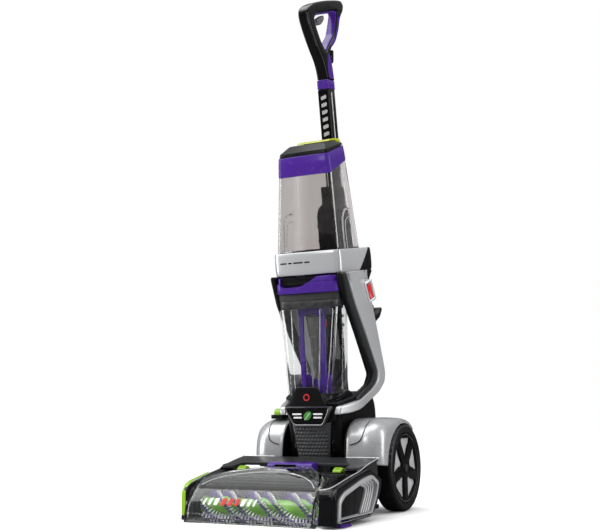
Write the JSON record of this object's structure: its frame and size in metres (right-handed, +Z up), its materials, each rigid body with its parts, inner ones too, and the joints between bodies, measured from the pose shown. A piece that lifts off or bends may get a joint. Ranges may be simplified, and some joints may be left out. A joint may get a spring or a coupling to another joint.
{
  "type": "upright carpet cleaner",
  "caption": "Upright carpet washer: wheeled foot with twin brush rolls and clear nozzle, reclining body with clean and dirty tanks, stick handle with loop grip.",
  "frame": {"origin": "centre of the base footprint, on the floor", "axes": "+Z up, the nozzle faces -Y, +X is the machine's left-hand side as its user stands behind it, which is to the right when the nozzle faces the viewer"},
  "size_m": [0.322, 0.462, 1.1352],
  "materials": {
    "black_shell": "fine moulded texture",
    "gloss_black": "polished",
    "charcoal_shell": "satin moulded",
    "silver_paint": "silver metallic paint",
    "chrome_trim": "polished",
    "purple_plastic": "gloss moulded",
    "lime_plastic": "gloss moulded",
    "clear_plastic": "clear moulding",
    "smoke_plastic": "smoke tinted clear moulding",
    "grey_tube": "translucent grey moulding",
    "red_lens": "gloss",
    "black_rubber": "matt",
    "tyre_tread": "matt",
    "steel_part": "drawn",
    "brush_bristle": "nylon bristles on a moulded core",
    "purple_bristle": "nylon bristles"
  },
  "bodies": {
    "base": {"base_chassis": "black_shell", "brush_hood": "charcoal_shell", "belt_cover": "gloss_black", "belt_cover_trim": "silver_paint", "left_end_plate": "gloss_black", "left_end_cover": "lime_plastic", "foot_cover": "charcoal_shell", "right_fender": "silver_paint", "left_fender": "silver_paint", "wheel_axle": "steel_part", "brush_motor": "steel_part", "drive_belt": "black_rubber", "suction_duct": "charcoal_shell", "spray_bar": "black_shell", "water_heater": "steel_part", "water_pump": "black_shell", "pedal_base": "charcoal_shell", "edge_bristles": "purple_bristle"},
    "right_wheel": {"right_tyre": "tyre_tread", "right_rim": "gloss_black"},
    "left_wheel": {"left_tyre": "tyre_tread", "left_rim": "gloss_black"},
    "front_roll": {"front_brush": "brush_bristle"},
    "rear_roll": {"rear_brush": "brush_bristle"},
    "motor_shaft": {"motor_pulley": "steel_part"},
    "window": {"nozzle_window": "clear_plastic"},
    "latch": {"nozzle_latch": "purple_plastic"},
    "tab_right": {"release_tab_right": "lime_plastic"},
    "tab_left": {"release_tab_left": "lime_plastic"},
    "pedal": {"spray_pedal": "lime_plastic"},
    "upper_body": {"rear_housing": "black_shell", "collar": "silver_paint", "right_arm": "silver_paint", "left_arm": "silver_paint", "right_arm_trim": "charcoal_shell", "left_arm_trim": "charcoal_shell", "neck_grille": "charcoal_shell", "badge_panel": "gloss_black", "badge_trim": "chrome_trim", "vacuum_motor": "steel_part", "switch_bezel": "silver_paint", "cord_hook_lower": "black_shell", "handle_stick": "gloss_black", "stick_face": "silver_paint", "handle_sleeve": "purple_plastic", "handle_grip": "gloss_black", "grip_liner": "purple_plastic"},
    "rocker": {"power_rocker": "red_lens"},
    "trigger_body": {"trigger": "grey_tube"},
    "cord_hook": {"cord_hook_upper": "black_shell"},
    "dirty_tank": {"dirty_tank_shell": "clear_plastic", "dirty_tank_lid": "purple_plastic", "tank_inner_frame": "purple_plastic", "stack_tube": "grey_tube", "tank_plate": "gloss_black"},
    "float_body": {"float_valve": "red_lens"},
    "clean_tank": {"clean_tank_shell": "smoke_plastic", "clean_tank_band": "purple_plastic", "clean_tank_cap": "charcoal_shell"},
    "tank_latch": {"cap_latch": "lime_plastic"}
  },
  "joints": [
    {"name": "recline", "type": "hinge", "parent": "base", "child": "upper_body", "pos_m": [0, 0.143, 0.088], "axis": [-1, 0, 0], "range_deg": [0, 68]},
    {"name": "right_wheel_spin", "type": "hinge", "parent": "base", "child": "right_wheel", "pos_m": [0.1305, 0.143, 0.088], "axis": [1, 0, 0], "continuous": true},
    {"name": "left_wheel_spin", "type": "hinge", "parent": "base", "child": "left_wheel", "pos_m": [-0.1305, 0.143, 0.088], "axis": [1, 0, 0], "continuous": true},
    {"name": "rear_brush_spin", "type": "hinge", "parent": "base", "child": "rear_roll", "pos_m": [0, -0.13, 0.0295], "axis": [1, 0, 0], "continuous": true},
    {"name": "front_brush_spin", "type": "hinge", "parent": "base", "child": "front_roll", "pos_m": [0, -0.187, 0.0295], "axis": [1, 0, 0], "continuous": true},
    {"name": "motor_spin", "type": "hinge", "parent": "base", "child": "motor_shaft", "pos_m": [0.13, -0.042, 0.042], "axis": [1, 0, 0], "continuous": true},
    {"name": "window_release", "type": "slide", "parent": "base", "child": "window", "axis": [0, -0.6, 0.8], "range_m": [0, 0.05]},
    {"name": "latch_lift", "type": "hinge", "parent": "base", "child": "latch", "pos_m": [0, -0.062, 0.104], "axis": [-1, 0, 0], "range_deg": [0, 28]},
    {"name": "tab_right_slide", "type": "slide", "parent": "base", "child": "tab_right", "axis": [1, 0, 0], "range_m": [0, 0.005], "stiffness_N_per_m": 300},
    {"name": "tab_left_slide", "type": "slide", "parent": "base", "child": "tab_left", "axis": [-1, 0, 0], "range_m": [0, 0.005], "stiffness_N_per_m": 300},
    {"name": "pedal_press", "type": "slide", "parent": "base", "child": "pedal", "axis": [0, 0, -1], "range_m": [0, 0.004], "stiffness_N_per_m": 400},
    {"name": "power_switch", "type": "hinge", "parent": "upper_body", "child": "rocker", "pos_m": [0.0882, 0.09862, 0.45487], "axis": [0, 0.8394, 0.5434], "range_deg": [-6, 6]},
    {"name": "trigger_squeeze", "type": "hinge", "parent": "upper_body", "child": "trigger_body", "pos_m": [0, 0.06522, 1.07042], "axis": [-1, 0, 0], "range_deg": [0, 7], "stiffness_Nm_per_rad": 0.4},
    {"name": "cord_hook_swivel", "type": "hinge", "parent": "upper_body", "child": "cord_hook", "pos_m": [0, 0.09864, 0.97883], "axis": [0, 0.9848, 0.1736], "range_deg": [0, 180]},
    {"name": "dirty_tank_pull", "type": "slide", "parent": "upper_body", "child": "dirty_tank", "axis": [0, -0.9848, -0.1736], "range_m": [0, 0.15]},
    {"name": "float_rise", "type": "slide", "parent": "dirty_tank", "child": "float_body", "axis": [0, -0.1736, 0.9848], "range_m": [0, 0.028]},
    {"name": "clean_tank_lift", "type": "slide", "parent": "upper_body", "child": "clean_tank", "axis": [0, -0.1736, 0.9848], "range_m": [0, 0.12]},
    {"name": "tank_latch_press", "type": "hinge", "parent": "clean_tank", "child": "tank_latch", "pos_m": [0, 0.08076, 0.76345], "axis": [-1, 0, 0], "range_deg": [0, 7], "stiffness_Nm_per_rad": 0.5}
  ],
  "couplings": [
    {"joint": "front_brush_spin", "follows": "rear_brush_spin", "ratio": 1},
    {"joint": "motor_spin", "follows": "rear_brush_spin", "ratio": 1.4444}
  ]
}
